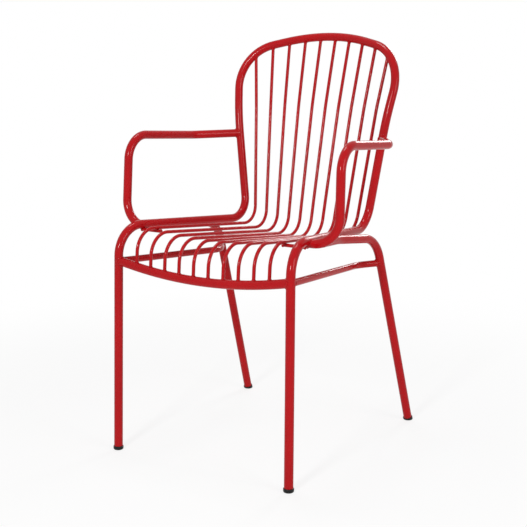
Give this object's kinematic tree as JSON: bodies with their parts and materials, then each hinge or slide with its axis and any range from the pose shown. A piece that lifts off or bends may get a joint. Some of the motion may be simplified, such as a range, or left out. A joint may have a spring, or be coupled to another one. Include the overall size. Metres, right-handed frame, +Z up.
{
  "type": "stacking armchair",
  "caption": "Outdoor armchair of bent steel tube, with a seat and back of bent rods that run down to a sagging front crossbar, looped arms, and plastic feet.",
  "frame": {"origin": "on the floor, under the middle of the chair's overall box", "axes": "+X to the chair's left hand seen from the front, -Y is the side the chair faces, +Z up"},
  "size_m": [0.5304, 0.5214, 0.8501],
  "materials": {
    "painted_steel": "glossy powder coat",
    "foot_plastic": "satin black"
  },
  "bodies": {
    "root": {"frame_tube": "painted_steel", "front_bow": "painted_steel", "rear_leg_right": "painted_steel", "rear_leg_left": "painted_steel", "arm_right": "painted_steel", "arm_left": "painted_steel", "side_stretcher_right": "painted_steel", "side_stretcher_left": "painted_steel", "rod_01": "painted_steel", "rod_02": "painted_steel", "rod_03": "painted_steel", "rod_04": "painted_steel", "rod_05": "painted_steel", "rod_06": "painted_steel", "rod_07": "painted_steel", "rod_08": "painted_steel", "rod_09": "painted_steel", "rod_10": "painted_steel", "rod_ties": "painted_steel", "front_feet": "foot_plastic", "rear_feet": "foot_plastic"}
  },
  "joints": []
}
